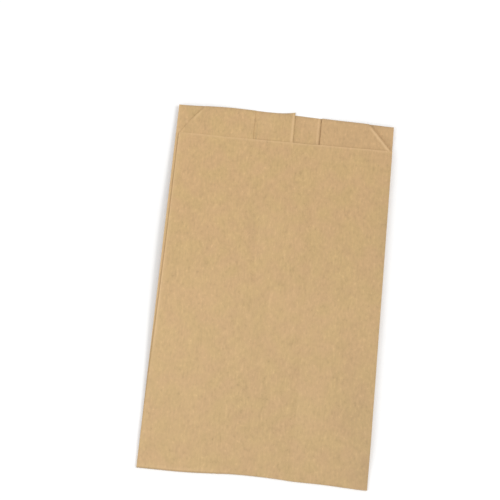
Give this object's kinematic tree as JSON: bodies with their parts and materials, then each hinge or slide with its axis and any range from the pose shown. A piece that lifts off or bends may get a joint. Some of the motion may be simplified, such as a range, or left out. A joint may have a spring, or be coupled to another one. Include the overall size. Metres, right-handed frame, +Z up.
{
  "type": "paper bag",
  "caption": "Flat gusseted kraft paper bag with a stepped mouth and a folded-over bottom, lying folded flat.",
  "frame": {"origin": "middle of the bag's footprint, on the surface that it lies on", "axes": "+Z up through the folded plies to the front panel, +Y along the bag towards its mouth, +X across the bag to the right seen from above"},
  "size_m": [0.2, 0.3422, 0.0068],
  "materials": {
    "kraft_paper": "matt unbleached kraft paper"
  },
  "bodies": {
    "root": {"bag": "kraft_paper"}
  },
  "joints": []
}
